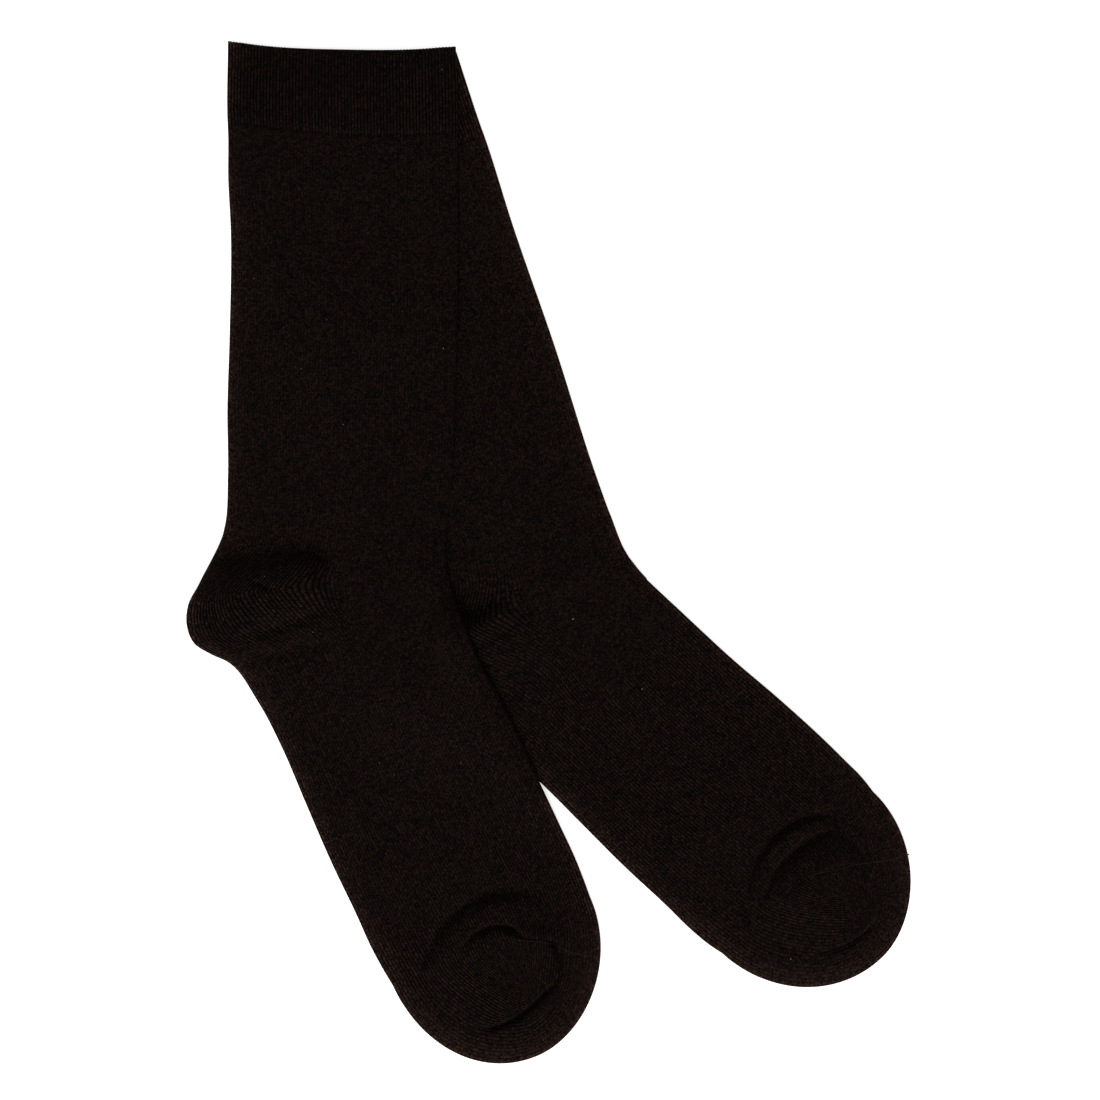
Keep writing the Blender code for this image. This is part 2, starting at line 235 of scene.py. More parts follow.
# Drape of the front sock over the rear one
AIR = 0.15  # between the two socks where they touch
CELL = 1.0  # of the grid that holds the rear sock's height
UNDER_REACH = 12.0  # run-out of the lower layer beside the rear sock's edge
UPPER_REACH = 30.0  # and of the upper layer, which bridges it more softly
UNDER_BLUR = 2  # cells over which each is smoothed
UPPER_BLUR = 5
COARSE_TOE_ROWS = 30  # of the toe, where only its height is read

# The heel: its middle wale lies towards the front, over a stretch of the foot's length
HEEL_SPREAD = 8.0
HEEL_ALONG = 6.0
HEEL_SPAN = 26.0
HEEL_SIDE = (0.44, 0.56)  # shares of the width between which its open wales end
HEEL_TOP = 40  # height on the front edge above which the leg is alike all round
TOE_RUN = 60.0  # length before the toe on which the middle wale moves to the toe's gore

# Wales meet on a gore in points, which round off towards its end
POINT_BLUNT = (0.3, 9.0)
POINT_SHARP_SHARE = 0.85
POINT_RUN = 22.0
POINT_POWER = 1.5

# The mouth and the end of the welt hang a little, between these heights
MOUTH_HANG = 2.6
MOUTH_SETS_IN = (190, 210)
MOUTH_POWER = 3
WELT_HANG = 2.6
WELT_SETS_IN = (150, 180)
WELT_ENDS = (186, 206)

# Creases
FOLD_REACH = 2.6  # widths of a fold beyond which it is left out
CHUNK = 20000  # points whose nearest fold is sought at a time
BROW_POWER = 1.3  # a brow rises steeply out of its crease and rounds over
DOME_POWER = 1.5
PRESSED_SHARE = 0.25  # of a trough's depth, on the lower layer,
PRESSED_MOST = 2  # and the depth up to which it counts
ROLL_HEIGHT = 0.08
ROLLS = ((11, 29, 0), (17, -13, 1.3), (31, 8.3, 0.4))  # lengths along x and y, and phase

# Painted rim light: the cloth is made paler at its folded edges and round the toe's rim, where light
# catches them
RIM_LIGHT_RUNS = ((0.65, 1.1), (0.35, 3.6))  # share and run of its crest and of its slow end
TOE_RIM_LIGHT = 0.05  # the toe's rim gets this much more painted light,
TOE_RIM_LIGHT_FROM = (-40, 5)  # from here on along the foot, counted from its start,
TOE_RIM_LIGHT_WIDTH = (6, 16)  # and so far in from its edge
RIM_LIGHT_CLEAR = 1.5  # an edge lifted by this lies on the other sock, and gets no painted rim light

# The toe
GORE_ROUNDNESS = 1.3  # of its outline near the gore
ROUND_FROM = 0.3  # share of the width from which the toe's own roundness sets in
SLACK_RIM = 0.55  # ribs at the rim, as a share of those round the gore
SLACK_RUN = 0.5  # share of the turn in which they grow slack

# The thread that links the toe shut
STITCH_PITCH = 1.15
STITCH_SIZE = (0.52, 0.24, 0.22)
STITCH_SLANT = 0.25  # radians between a stitch and its seam
STITCH_SINK = 0.02  # into the upper layer,
STITCH_UNDER = 0.12  # and into the lower one
SEAM_POINTS = 40  # to each span of the seam
ON_TOE = 0.35  # the seam ends where the toe's mesh is further off than this

# Specks of lint
LINT_NEAR = 2.0  # how far round a speck the height of the cloth is read
OUTER_SHARE = 0.6  # of the wall: points that lie deeper are on its inner face
LINT_LIFT = 0.04
LINT_WIDTH = 0.2  # half width, as a share of its length
LINT_HALF_HEIGHT = 0.10

# Looks of the knit
CROWN_POWER = 1.2  # how narrow the lit crown of a wale is
STITCH_LEAN = 1.2  # twice the courses that a leg of the V climbs from crown to groove
FIBRE_CELLS = (2.4, 1.8)  # to one wale and one course: bundles, as single fibres are too fine to show
SLUBS = 0.9  # of the yarn, to each millimetre
JERSEY_RELIEF = 0.16  # height of the bump, on a single knit and on the double one
WELT_RELIEF = 0.20
YARN_RELIEF = 0.7  # shares of the bump
CROWN_RELIEF = 0.5
LUMP_RELIEF = 0.3
# depth of the painted shade in the grooves between wales
GROOVE_PAINTED_SHADE = 0.95
WELT_SHADE = 0.85  # the welt is a little darker

# Stage: the paper glows as on a light table, so it stays white round the dark cloth
FLOOR_SIZE = 6
FLOOR_DROP = 0.4
FLOOR_GLOW = 0.64
SKY_LIGHT = 0.55
KEY_PLACE = (-1.0, -8.1, 4.7)  # low, from beyond the toes
KEY_SIZE = 6.0
KEY_POWER = 1220
FRAME_WIDTH = 440
FRAME_MIDDLE = (0.6, 0.8)


# ---- small geometry

def turned(points, degrees):
    """Points of the plane, turned anticlockwise about the origin."""
    angle = math.radians(degrees)
    turn = np.array([[math.cos(angle), math.sin(angle)], [-math.sin(angle), math.cos(angle)]])
    return np.asarray(points, dtype=float) @ turn


def foot_points(sock, along, across):
    """Points given along and across the foot, in the sock's flat frame."""
    return turned(np.stack([across, -np.asarray(along, dtype=float)], axis=-1), sock.bend)


def foot_frame(sock, plan):
    """How far along and across the foot points of the flat frame lie."""
    bend = math.radians(sock.bend)
    across = np.array([math.cos(bend), math.sin(bend)])
    return plan @ np.array([across[1], -across[0]]), plan @ across


def soft_step(x):
    x = np.clip(x, 0.0, 1.0)
    return x * x * (3 - 2 * x)


def ramp(x, low, high):
    """From 0 at the low value to 1 at the high one."""
    return soft_step((x - low) / (high - low))


def at_least(values, least, soft=0.4):
    """The values, held up softly over the least one."""
    over = values - least
    return least + (over + np.sqrt(over**2 + soft**2)) / 2


def curve_through(points, per_span=14):
    """A smooth line through a few points (Catmull-Rom)."""
    points = np.array(points, dtype=float)
    ends = np.vstack([2 * points[0] - points[1], points, 2 * points[-1] - points[-2]])
    t = np.linspace(0, 1, per_span, endpoint=False)[:, None]
    spans = []
    for a, b, c, d in zip(ends[:-3], ends[1:-2], ends[2:-1], ends[3:]):
        spans.append(0.5 * (2 * b + (c - a) * t + (2 * a - 5 * b + 4 * c - d) * t**2
                            + (3 * b - a - 3 * c + d) * t**3))
    return np.vstack(spans + [points[-1:]])


def smooth_courses(rows, steps):
    """Rows of back x, y, front x, y, depth and rib, filled in along smooth edges through them."""
    rows = np.array(rows, dtype=float)
    edges, rest = rows[:, :4], rows[:, 4:]
    spans = edges[1:] - edges[:-1]
    lengths = np.maximum(np.hypot(spans[:, 0], spans[:, 1]), np.hypot(spans[:, 2], spans[:, 3]))
    slopes = spans / lengths[:, None]
    tangents = np.empty_like(edges)
    tangents[0] = slopes[0]
    tangents[-1] = slopes[-1]
    before, after = lengths[:-1, None], lengths[1:, None]
    tangents[1:-1] = (slopes[:-1] * after + slopes[1:] * before) / (before + after)
    filled, starts = [], []
    for i, length in enumerate(lengths):
        starts.append(len(filled))
        pieces = max(1, math.ceil(length / steps[i]))
        for t in (j / pieces for j in range(pieces)):
            start = (2 * t**3 - 3 * t**2 + 1) * edges[i] + (t**3 - 2 * t**2 + t) * length * tangents[i]
            end = (3 * t**2 - 2 * t**3) * edges[i + 1] + (t**3 - t**2) * length * tangents[i + 1]
            filled.append((*(start + end), *(rest[i] + (rest[i + 1] - rest[i]) * soft_step(t))))
    starts.append(len(filled))
    filled.append(tuple(rows[-1]))
    return np.array(filled), starts


# ---- the sock's form

def tube_courses(sock):
    """All courses of the tube, from the mouth to the toe, and the row where each stretch starts."""
    toe = sock.foot[-1]._replace(along=sock.toe.start, back=sock.toe.back, front=sock.toe.front)
    rows = [row[1:7] for row in sock.courses]
    for row in (*sock.foot, toe):
        back, front = foot_points(sock, [row.along] * 2, [row.back, row.front])
        rows.append((*back, *front, row.depth, row.rib))
    filled, starts = smooth_courses(rows, [row.step for row in (*sock.courses, *sock.foot)])
    names = [row.name for row in sock.courses] + [f"foot_{row.along}" for row in sock.foot]
    return filled, dict(zip([*names, "toe"], starts))


def ring_of(rows, columns):
    """Where each column crosses each course: how far in from the back fold, and its normal.

    A layer is flat between its half-round folded edges, and its columns are spaced evenly along it.
    """
    width = np.hypot(rows[:, 2] - rows[:, 0], rows[:, 3] - rows[:, 1])[:, None]
    radius = EDGE_SHARE * np.minimum(rows[:, 4], THICK_EDGE)[:, None]
    quarter = radius * math.pi / 2
    layer = width - 2 * radius + 2 * quarter
    upper = columns <= HALF
    run = np.where(upper, columns, RING - columns) / HALF * layer
    from_back = np.clip(run / radius, 0, math.pi / 2)
    from_front = np.clip((layer - run) / radius, 0, math.pi / 2)
    inward = run - quarter + radius
    inward = np.where(run < quarter, radius - radius * np.cos(from_back), inward)
    inward = np.where(layer - run < quarter, width - radius + radius * np.cos(from_front), inward)
    outward = np.cos(from_front) - np.cos(from_back)
    up = np.where(upper, 1, -1) * np.sin(np.minimum(from_back, from_front))
    return inward, outward, up, width, radius


def layer_height(up, radius, depth, edge):
    """Height of the cloth's outer face: half round at the folded edges, and full between them."""
    fullness = (depth - 2 * radius) * soft_step(edge / EDGE_RUN)
    return radius * (1 + up) + fullness * np.clip(up, 0, 1)


def below_crown(columns):
    """How far each column lies under the crown of its wale, as a share of the groove."""
    return 1 - np.array(RIB_PROFILE)[columns % PER_WALE]


def spread(sock, plan, fraction):
    """How far the middle wale, which runs to the ends of both gores, lies from the middle."""
    toe = sock.toe
    along = foot_frame(sock, plan)[0]
    toe_shift = toe.gore - (toe.back + toe.front) / 2
    toe_share = ramp(along, toe.start - TOE_RUN, toe.start)
    heel_share = np.exp(-((along - HEEL_ALONG) / HEEL_SPAN) ** 2)
    wave = np.sin(math.pi * fraction)
    return toe_shift * toe_share * wave + HEEL_SPREAD * heel_share * wave**2


def drawn_out(sock, plan, gore, on_foot=False):
    """The wales drawn out along a gore, so that they meet on it in points."""
    start, end = np.array(gore.start, dtype=float), np.array(gore.end, dtype=float)
    if on_foot:
        start, end = foot_points(sock, *start), foot_points(sock, *end)
    run = end - start
    length = np.hypot(*run)
    run = run / length
    off = plan - start
    along = off @ run
    beside = off @ np.array([-run[1], run[0]])
    rounding = soft_step((along - length * POINT_SHARP_SHARE) / POINT_RUN)
    blunt = POINT_BLUNT[0] + POINT_BLUNT[1] * rounding
    sharp = np.sqrt(beside**2 + blunt**2) - blunt
    reach = np.where(beside > 0, gore.left, gore.right)
    pull = gore.amount * soft_step(along / gore.rise) * (1 - soft_step((along - length) / gore.fade))
    return plan + run * (pull * np.clip(1 - sharp / reach, 0, 1) ** POINT_POWER)[..., None]


def cuff_bow(plan, fraction):
    """The mouth and the end of the welt hang a little in the middle of the layer."""
    y = plan[..., 1]
    mouth = MOUTH_HANG * ramp(y, *MOUTH_SETS_IN) * (1 - np.abs(2 * fraction - 1) ** MOUTH_POWER)
    welt = WELT_HANG * ramp(y, *WELT_SETS_IN) * (1 - ramp(y, *WELT_ENDS)) * np.sin(math.pi * fraction)
    plan = plan.copy()
    plan[..., 1] -= mouth + welt
    return plan


class Form:
    """The surface of one sock: where a column of a course lies, in world millimetres."""

    def __init__(self, sock, lift=None):
        self.sock = sock
        self.rows, self.start = tube_courses(sock)
        self.lift = lift
        self.folds = [self.fold_line(fold, fold.points) for fold in sock.folds]
        for fold in sock.toe_folds:
            self.folds.append(self.fold_line(fold, foot_points(sock, *np.array(fold.points).T)))

    @staticmethod
    def fold_line(fold, points):
        line = curve_through(points)
        tangent = np.gradient(line, axis=0)
        tangent /= np.linalg.norm(tangent, axis=1)[:, None]
        share = np.linspace(0, 1, len(line))
        rises, sinks = np.broadcast_to(fold.taper, 2)
        taper = soft_step(share / rises) * soft_step((1 - share) / sinks)
        return fold, line, tangent, taper

    def relief(self, plan):
        """Height that the folds and the dome add to the upper layer."""
        flat = plan.reshape(-1, 2)
        height = np.zeros(len(flat))
        for fold, line, tangent, taper in self.folds:
            brow = np.linspace(*(fold.brow or (1.0, 1.0)), len(line))
            reach = max(FOLD_REACH * fold.left, FOLD_REACH * fold.right, brow.max())
            low, high = line.min(axis=0) - reach, line.max(axis=0) + reach
            near = np.flatnonzero(np.all((flat > low) & (flat < high), axis=1))
            for part in np.array_split(near, max(1, len(near) // CHUNK)):
                off = flat[part][:, None, :] - line[None]
                apart = np.einsum("ijk,ijk->ij", off, off)
                nearest = apart.argmin(axis=1)
                rows = np.arange(len(part))
                off, apart = off[rows, nearest], apart[rows, nearest]
                on_left = tangent[nearest, 0] * off[:, 1] > tangent[nearest, 1] * off[:, 0]
                share = np.exp(-apart / np.where(on_left, fold.left, fold.right) ** 2)
                if fold.brow:
                    steep = np.clip(1 - apart / brow[nearest] ** 2, 0, 1) ** BROW_POWER
                    share = np.where(on_left, steep, share)
                height[part] += fold.rise * taper[nearest] * share
        along, across = foot_frame(self.sock, flat)
        dome = self.sock.dome
        far = ((along - dome.along) / dome.half_length) ** 2
        far += ((across - dome.across) / dome.half_width) ** 2
        height += dome.rise * np.clip(1 - far, 0, 1) ** DOME_POWER
        return height.reshape(plan.shape[:-1])

    def rolling(self, plan):
        """The slow, faint unevenness of cloth that has been worn and washed."""
        x, y = plan[..., 0], plan[..., 1]
        return ROLL_HEIGHT * sum(np.sin(x / a + y / b + phase) for a, b, phase in ROLLS)

    def rubbed(self, plan, edge):
        """Painted rim light: how much paler the cloth is made near its folded edges and round the toe's
        rim, where they don't lie on the other sock.
        """
        share = sum(part * np.exp(-edge / run) for part, run in RIM_LIGHT_RUNS)
        along = foot_frame(self.sock, plan)[0]
        on_toe = ramp(along - self.sock.toe.start, *TOE_RIM_LIGHT_FROM)
        share = share + TOE_RIM_LIGHT * on_toe * (1 - ramp(edge, *TOE_RIM_LIGHT_WIDTH))
        if self.lift is not None:
            under, _ = self.lift(turned(plan, self.sock.turn) + self.sock.place)
            share = share * (1 - soft_step((under - AIR) / RIM_LIGHT_CLEAR))
        return share

    def place(self, plan, up, height):
        """Plan points and heights in the flat frame to world points."""
        world = turned(plan, self.sock.turn) + self.sock.place
        if self.lift is not None:
            under, over = self.lift(world)
            height = height + under + (over - under) * np.clip(up, 0, 1)
        return np.concatenate([world, height[..., None]], axis=-1)

    def tube(self, first, last, stride=1, inset=0.0, lip=(), lip_radius=0.0):
        """World points of courses first to last, their painted rim light and how open their ribs are.

        inset is how far under the outer face they lie, and lip has the angles of the courses that
        turn over the mouth, from 0 on the outer face to 180 on the inner one.
        """
        rows = self.rows[first:last + 1]
        turn = np.radians(np.array(lip, dtype=float))
        out = rows[0, :4] - rows[1, :4]
        rim = np.repeat(rows[:1], len(turn), axis=0)
        rim[:, :4] += lip_radius * np.sin(turn)[:, None] * out / np.hypot(out[0], out[1])
        rows = np.vstack([rim, rows])
        inset = np.append(lip_radius * (1 - np.cos(turn)), [inset] * (last + 1 - first))[:, None]
        columns = np.arange(0, RING, stride)
        inward, outward, up, width, radius = ring_of(rows, columns)
        heel_side = 1 - ramp(inward / width, *HEEL_SIDE)
        open_rib = rows[:, 5][:, None]
        calm = np.minimum(open_rib, CALM_RIB)
        before_foot = np.arange(len(rows)) < self.start["foot_50"] - first
        on_heel = ((rows[:, 3] < HEEL_TOP) & before_foot)[:, None]
        rib = np.where(on_heel, calm + (open_rib - calm) * heel_side, open_rib)
        under = -rib * below_crown(columns) * (inset == 0) - inset
        fraction = inward / width
        back, front = rows[:, None, 0:2], rows[:, None, 2:4]
        across = (front - back) / width[..., None]
        middle = back + across * width[..., None] / 2
        shifted = inward + under * outward + spread(self.sock, middle, fraction)
        plan = cuff_bow(back + across * shifted[..., None], fraction)
        plan = drawn_out(self.sock, plan, self.sock.heel_gore)
        plan = drawn_out(self.sock, plan, self.sock.toe_gore, on_foot=True)
        plan[:len(turn), :, 1] -= SCALLOP * below_crown(columns) * np.sin(turn)[:, None]
        edge = np.minimum(inward, width - inward)
        return self.dressed(plan, up, radius, rows[:, 4][:, None], edge, under, rib)

    def dressed(self, plan, up, radius, depth, edge, under, rib):
        """World points, painted rim light and ribs. The lower layer has the creases' troughs only,
        pressed.
        """
        up = np.broadcast_to(up, plan.shape[:-1])
        height = layer_height(up, radius, depth, edge)
        relief = self.relief(plan) + self.rolling(plan)
        height = height + np.clip(up, 0, 1) * relief
        height = np.where(up > 0, at_least(height, LAYERS * np.clip(up, 0, 1)), height)
        height = height + np.clip(-up, 0, 1) * PRESSED_SHARE * np.clip(-relief, 0, PRESSED_MOST)
        return self.place(plan, up, height + under * up), self.rubbed(plan, edge), rib / OPEN_RIB

    def toe(self, rows_per_side, stride=1, inset=0.0):
        """World points of the toe, painted rim light and ribs: every wale runs round the gore to the
        instep.
        """
        sock, toe = self.sock, self.sock.toe
        last = self.rows[-1:]
        top = np.arange(HALF // 2, -1, -stride)
        columns = np.concatenate([top, (RING - top[::-1])[1:]])
        inward, outward, up, width, radius = (a[0] for a in ring_of(last, columns % RING))
        up = np.where(columns > HALF, -np.abs(up), np.abs(up))
        round_gore = np.abs(np.linspace(-1, 1, len(columns)))
        angle = np.linspace(0, math.pi, 2 * rows_per_side + 1)[:, None]
        slack = (1 - soft_step(round_gore / SLACK_RUN)) * soft_step(np.sin(angle) / SLACK_RUN)
        rib = last[0, 5] * (1 - (1 - SLACK_RIM) * slack)
        under = -rib * below_crown(columns) * (inset == 0) - inset
        fraction = inward / width
        across = toe.back + inward + (toe.gore - (toe.back + toe.front) / 2) * np.sin(math.pi * fraction)
        from_gore = toe.gore - across
        full = toe.gore - toe.back
        share = np.clip(from_gore / full, 0, 1)
        reach = toe.gore_start + (toe.length - toe.gore_start) * share
        power = 2 / (GORE_ROUNDNESS + (toe.roundness - GORE_ROUNDNESS) * ramp(share, ROUND_FROM, 1))
        squeeze = (toe.front - toe.gore) / full
        sine = np.sin(angle) ** power
        cosine = np.abs(np.cos(angle)) ** power * np.sign(np.cos(angle))
        side = np.where(cosine > 0, 1.0, squeeze)
        normal_along = np.sin(angle) * outward
        normal_across = np.cos(angle) * outward
        along = toe.start + reach * sine - under * normal_along
        over = toe.gore - from_gore * cosine * side + under * normal_across
        over = over + toe.shift * (sine * share) ** 2
        plan = drawn_out(sock, foot_points(sock, along, over), sock.toe_gore, on_foot=True)
        return self.dressed(plan, up, radius, last[0, 4], (full - from_gore) * side, under, rib)


def height_field(points):
    """The height of a surface on a square grid, and the grid's corner."""
    flat = points.reshape(-1, 3)
    corner = flat[:, :2].min(axis=0) - UPPER_REACH - 2 * CELL
    size = np.ceil((flat[:, :2].max(axis=0) + UPPER_REACH + 2 * CELL - corner) / CELL).astype(int) + 1
    field = np.zeros(size)
    cells = np.rint((flat[:, :2] - corner) / CELL).astype(int)
    np.maximum.at(field, (cells[:, 0], cells[:, 1]), flat[:, 2])
    return field, corner


def spread_field(field, reach):
    """The field held up round its edge and let down over the reach."""
    steps = int(reach / CELL)
    widened = field.copy()
    for i in range(-steps, steps + 1):
        for j in range(-steps, steps + 1):
            far = math.hypot(i, j) * CELL / reach
            if 0 < far < 1:
                moved = np.roll(field, (i, j), axis=(0, 1)) * (0.5 + 0.5 * math.cos(math.pi * far))
                np.maximum(widened, moved, out=widened)
    return widened


def blurred(field, cells):
    kernel = np.hanning(2 * cells + 3)[1:-1]
    kernel /= kernel.sum()
    for axis in (0, 1):
        field = np.apply_along_axis(np.convolve, axis, field, kernel, mode="same")
    return field


def whole_face(form):
    """The points of a sock's whole outer face."""
    tube = form.tube(0, len(form.rows) - 1)[0]
    return np.vstack([tube.reshape(-1, 3), form.toe(COARSE_TOE_ROWS)[0].reshape(-1, 3)])


def lift_over(rear, front):
    """Heights of the front sock's two layers over the rear sock: a tight and a softer drape."""
    points, covering = whole_face(rear), whole_face(Form(front))
    field, corner = height_field(points)
    covered = np.zeros(field.shape, dtype=bool)
    cells = np.rint((covering[:, :2] - corner) / CELL).astype(int)
    inside = np.all((cells > 0) & (cells < np.array(field.shape) - 1), axis=1)
    for i, j in ((0, 0), (1, 0), (-1, 0), (0, 1), (0, -1)):
        covered[cells[inside, 0] + i, cells[inside, 1] + j] = True
    field = np.where(covered, field, 0)
    under = blurred(spread_field(field, UNDER_REACH), UNDER_BLUR)
    over = blurred(spread_field(field, UPPER_REACH), UPPER_BLUR)
    over = np.maximum(over, under)

    def read(grid, world):
        place = np.clip((world - corner) / CELL, 0, np.array(grid.shape) - 1.001)
        i, j = np.moveaxis(np.floor(place).astype(int), -1, 0)
        u, v = np.moveaxis(place % 1, -1, 0)
        near = grid[i, j] * (1 - u) + grid[i + 1, j] * u
        far = grid[i, j + 1] * (1 - u) + grid[i + 1, j + 1] * u
        return near * (1 - v) + far * v

    return lambda world: (read(under, world) + AIR, read(over, world) + AIR)


# ---- meshes

def only(obj):
    bpy.ops.object.select_all(action="DESELECT")
    obj.select_set(True)
    bpy.context.view_layer.objects.active = obj


def made(name, operation, **settings):
    """Runs an operator that makes an object, and names it."""
    bpy.ops.object.select_all(action="DESELECT")
    operation(**settings)
    obj = bpy.context.object
    obj.name = obj.data.name = name
    return obj


def coordinates(mesh):
    values = np.empty(len(mesh.vertices) * 3, dtype=np.float32)
    mesh.vertices.foreach_get("co", values)
    return values.reshape(-1, 3)


def set_coordinates(mesh, points):
    mesh.vertices.foreach_set("co", points.astype(np.float32).ravel())
    mesh.update()


def select_edges(mesh, chosen):
    """Selects edges by a test on their two ends, for the next operator."""
    ends = np.empty(len(mesh.edges) * 2, dtype=np.int32)
    mesh.edges.foreach_get("vertices", ends)
    ends = ends.reshape(-1, 2)
    picked = chosen(ends)
    mesh.polygons.foreach_set("select", np.zeros(len(mesh.polygons), dtype=bool))
    mesh.vertices.foreach_set("select", np.zeros(len(mesh.vertices), dtype=bool))
    mesh.edges.foreach_set("select", picked)
    bpy.context.tool_settings.mesh_select_mode = (False, True, False)
    bpy.ops.object.mode_set(mode="EDIT")


def edit_all(obj, operation, **settings):
    """Runs an operator of edit mode on the whole of an object."""
    only(obj)
    bpy.ops.object.mode_set(mode="EDIT")
    bpy.ops.mesh.select_all(action="SELECT")
    operation(**settings)
    bpy.ops.object.mode_set(mode="OBJECT")


def laid(obj, points, course, column, flip):
    """Each vertex moved to its place in points[course, column], and an inner face turned round."""
    set_coordinates(obj.data, points[course, column] * MM)
    obj.data.uv_layers.active.name = "knit"
    if flip:
        edit_all(obj, bpy.ops.mesh.flip_normals)
    return obj, course, column


def knit_tube(name, points, flip=False):
    """An open tube cut into courses."""
    courses, columns = points.shape[:2]
    obj = made(name, bpy.ops.mesh.primitive_cylinder_add, vertices=columns, radius=1, depth=1,
               end_fill_type="NOTHING")
    mesh = obj.data
    heights = coordinates(mesh)[:, 2]
    select_edges(mesh, lambda ends: np.abs(heights[ends[:, 0]] - heights[ends[:, 1]]) > 0.5)
    bpy.ops.mesh.subdivide(number_cuts=courses - 2)
    bpy.ops.object.mode_set(mode="OBJECT")
    start = coordinates(mesh)
    course = np.rint((0.5 - start[:, 2]) * (courses - 1)).astype(int)
    column = np.rint(np.arctan2(start[:, 0], start[:, 1]) / (2 * math.pi) * columns).astype(int) % columns
    return laid(obj, points, course, column, flip)


def knit_sheet(name, points, flip=False):
    """An open sheet of courses and columns."""
    courses, columns = points.shape[:2]
    obj = made(name, bpy.ops.mesh.primitive_grid_add, x_subdivisions=columns - 1,
               y_subdivisions=courses - 1, size=2)
    start = coordinates(obj.data)
    column = np.rint((start[:, 0] + 1) / 2 * (columns - 1)).astype(int)
    course = np.rint((start[:, 1] + 1) / 2 * (courses - 1)).astype(int)
    return laid(obj, points, course, column, flip)


def knit_map(obj, course, column, points, zero=0, closed=True):
    """The UV map of the knit: wales across, and stitches along each wale's own length.

    Each wale is a strip of its own in the map, so its stitches stay upright where the cloth turns.
    """
    mesh = obj.data
    middle = points[:, PER_WALE // 2::PER_WALE]
    steps = np.linalg.norm(np.diff(middle, axis=0), axis=2)
    length = np.vstack([np.zeros(middle.shape[1]), np.cumsum(steps, axis=0)])
    length -= length[zero]
    loops = np.empty(len(mesh.loops), dtype=np.int32)
    mesh.loops.foreach_get("vertex_index", loops)
    corners = column[loops].reshape(-1, 4)
    first = corners.min(axis=1)
    if closed:
        columns = points.shape[1]
        wraps = corners.max(axis=1) - first > columns / 2
        first = np.where(wraps, columns - 1, first)
        corners = np.where(wraps[:, None] & (corners == 0), columns, corners)
    wale = np.minimum(first // PER_WALE, middle.shape[1] - 1)
    along = length[course[loops].reshape(-1, 4), wale[:, None]] / COURSE
    uv = np.stack([corners / PER_WALE, along + 0.5], axis=-1)
    mesh.uv_layers.active.data.foreach_set("uv", uv.astype(np.float32).ravel())


def cover(obj, course, column, points, rubbed, ribbing, **strips):
    """Gives an outer face what the material reads: its map, and the cloth's values at each vertex."""
    knit_map(obj, course, column, points, **strips)
    for name, values in (("rubbed", rubbed), ("ribbing", np.broadcast_to(ribbing, rubbed.shape))):
        chosen = values[course, column].astype(np.float32)
        obj.data.attributes.new(name, "FLOAT", "POINT").data.foreach_set("value", chosen)


def joined(name, objects):
    only(objects[0])
    for other in objects[1:]:
        other.select_set(True)
    bpy.ops.object.join()
    obj = bpy.context.object
    obj.name = obj.data.name = name
    return obj


def bridge_ends(obj, level_of):
    """Closes each end of a wall on its own: level_of gives each vertex's end, or -1."""
    for level in sorted(set(level_of[level_of >= 0])):
        only(obj)
        here = level_of == level
        select_edges(obj.data, lambda ends: here[ends[:, 0]] & here[ends[:, 1]])
        bpy.ops.mesh.bridge_edge_loops()
        bpy.ops.object.mode_set(mode="OBJECT")
        level_of = np.append(level_of, np.full(len(obj.data.vertices) - len(level_of), -1))


def close_wall(obj):
    """Bridges the open edge of the outer face to that of the inner one."""
    only(obj)
    bpy.ops.object.mode_set(mode="EDIT")
    bpy.ops.mesh.select_mode(type="EDGE")
    bpy.ops.mesh.select_all(action="DESELECT")
    bpy.ops.mesh.select_non_manifold(extend=False, use_wire=False, use_boundary=True,
                                     use_multi_face=False, use_non_contiguous=False, use_verts=False)
    bpy.ops.mesh.bridge_edge_loops()
    bpy.ops.object.mode_set(mode="OBJECT")


def finish_piece(obj, material):
    only(obj)
    bpy.ops.object.shade_smooth_by_angle(angle=math.radians(SMOOTH_ANGLE))
    obj.data.materials.clear()
    obj.data.materials.append(material)
    return obj


def tube_piece(name, form, first, last, wall, material, mouth=False):
    """One stretch of the sock: a ribbed outer face and a plain inner one, joined at both ends."""
    outer_lip, inner_lip = (OUTER_LIP, INNER_LIP) if mouth else ((), ())
    cloth = form.tube(first, last, lip=outer_lip, lip_radius=wall / 2)
    shell, course, column = knit_tube(name, cloth[0])
    cover(shell, course, column, *cloth)
    inner = form.tube(first, last, INNER_STRIDE, wall, lip=inner_lip, lip_radius=wall / 2)[0]
    turned_in = len(inner_lip)
    kept = [*range(turned_in), *range(turned_in, len(inner), INNER_ROWS), len(inner) - 1]
    lining, inner_course, _ = knit_tube(name + "_inner", inner[np.unique(kept)], flip=True)
    ends = [np.select([at == 0, at == at.max()], [0, 1], -1) for at in (course, inner_course)]
    piece = joined(name, [shell, lining])
    bridge_ends(piece, np.concatenate(ends))
    return finish_piece(piece, material)


def toe_piece(name, form, material):
    """The toe: a sheet of wales that run round the gore, folded over from the sole to the instep."""
    cloth = form.toe(TOE_ROWS)
    shell, course, column = knit_sheet(name, cloth[0])
    cover(shell, course, column, *cloth, zero=TOE_ROWS, closed=False)
    inner = form.toe(TOE_ROWS // INNER_ROWS, stride=INNER_STRIDE, inset=WALL)[0]
    lining = knit_sheet(name + "_inner", inner, flip=True)[0]
    for face in (shell, lining):
        edit_all(face, bpy.ops.mesh.remove_doubles, threshold=MERGE * MM)
    piece = joined(name, [shell, lining])
    close_wall(piece)
    return finish_piece(piece, material), cloth[0]


